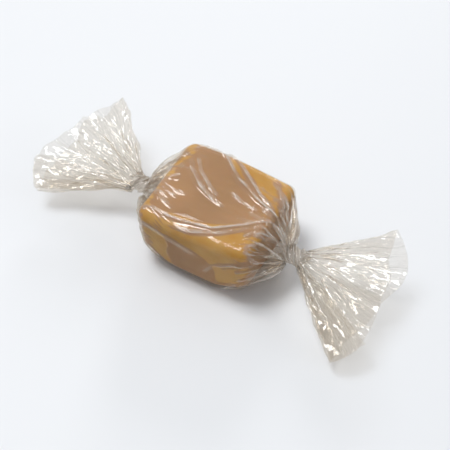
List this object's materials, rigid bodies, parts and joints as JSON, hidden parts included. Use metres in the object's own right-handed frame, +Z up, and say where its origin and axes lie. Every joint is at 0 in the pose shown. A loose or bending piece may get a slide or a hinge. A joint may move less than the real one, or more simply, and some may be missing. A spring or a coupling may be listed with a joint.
{
  "type": "wrapped caramel candy",
  "caption": "Soft square caramel tablet wrapped in clear crinkled film, twisted shut at both ends into pleated fans.",
  "frame": {"origin": "middle of the flat underside that the candy lies on", "axes": "+X along the twists, towards the wider fan; +Y across the tablet, away from the side that is seen first; +Z up"},
  "size_m": [0.071, 0.0271, 0.0156],
  "materials": {
    "caramel": "soft milk caramel, satin, amber where the film clings to it and duller tan elsewhere",
    "film": "clear glossy thin film, crinkled, whitish where it is pleated"
  },
  "bodies": {
    "root": {"caramel": "caramel", "wrapper": "film"}
  },
  "joints": []
}
